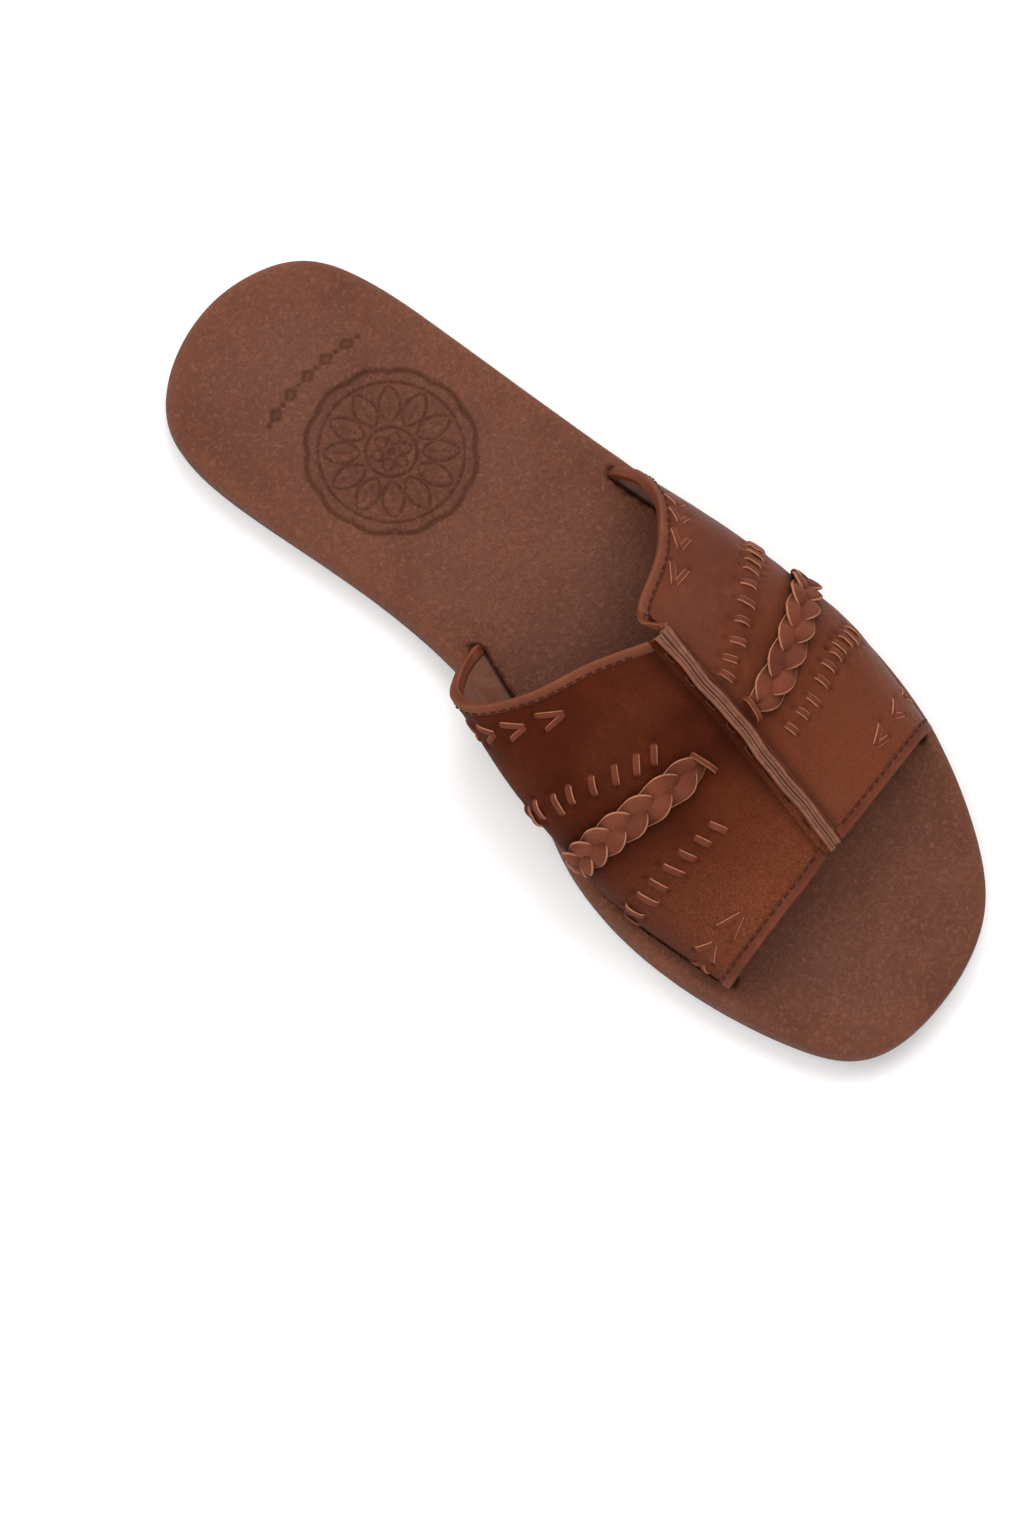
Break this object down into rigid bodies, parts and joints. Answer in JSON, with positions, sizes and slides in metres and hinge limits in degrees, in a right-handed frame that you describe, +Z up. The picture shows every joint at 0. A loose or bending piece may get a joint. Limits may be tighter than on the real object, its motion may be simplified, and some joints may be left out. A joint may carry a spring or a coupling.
{
  "type": "slide sandal",
  "caption": "Open-toed leather slide sandal for the left foot: a padded footbed and a wide laced and braided strap with a standing centre seam.",
  "frame": {"origin": "on the ground under the middle of the sole, halfway between toe and heel", "axes": "-Y towards the toe, +Y towards the heel, +X towards the outer side of the foot, +Z up"},
  "size_m": [0.0992, 0.2521, 0.0519],
  "materials": {
    "outsole_rubber": "matte",
    "board": "matte",
    "foam": "matte",
    "footbed_leather": "matte",
    "vamp_leather": "satin",
    "lining_suede": "matte",
    "binding_leather": "satin",
    "thread": "matte",
    "lace_leather": "satin"
  },
  "bodies": {
    "sandal": {"outsole_rear": "outsole_rubber", "insole_board_rear": "board", "foam_pad_rear": "foam", "footbed_cover_rear": "footbed_leather", "vamp_panel_medial": "vamp_leather", "vamp_panel_lateral": "vamp_leather", "vamp_lining_medial": "lining_suede", "vamp_lining_lateral": "lining_suede", "rear_binding_medial": "binding_leather", "rear_binding_lateral": "binding_leather", "front_binding_medial": "binding_leather", "front_binding_lateral": "binding_leather", "rear_thread_medial": "thread", "rear_thread_lateral": "thread", "front_thread_medial": "thread", "front_thread_lateral": "thread", "centre_seam_thread": "thread", "rear_whip_lace_medial": "lace_leather", "rear_whip_lace_lateral": "lace_leather", "front_whip_lace_medial": "lace_leather", "front_whip_lace_lateral": "lace_leather", "rear_arrow_lace_medial": "lace_leather", "rear_arrow_lace_lateral": "lace_leather", "front_arrow_lace_medial": "lace_leather", "front_arrow_lace_lateral": "lace_leather", "braid_strand_medial_1": "lace_leather", "braid_strand_medial_2": "lace_leather", "braid_strand_medial_3": "lace_leather", "braid_strand_lateral_1": "lace_leather", "braid_strand_lateral_2": "lace_leather", "braid_strand_lateral_3": "lace_leather", "braid_tie_medial_outer": "lace_leather", "braid_tie_medial_inner": "lace_leather", "braid_tie_lateral_outer": "lace_leather", "braid_tie_lateral_inner": "lace_leather"},
    "toe": {"outsole_toe": "outsole_rubber", "insole_board_toe": "board", "foam_pad_toe": "foam", "footbed_cover_toe": "footbed_leather"}
  },
  "joints": [
    {"name": "toe_flex", "type": "hinge", "parent": "sandal", "child": "toe", "pos_m": [0, -0.09, 0.012], "axis": [-1, 0, 0], "range_deg": [0, 28], "stiffness_Nm_per_rad": 0.8}
  ]
}
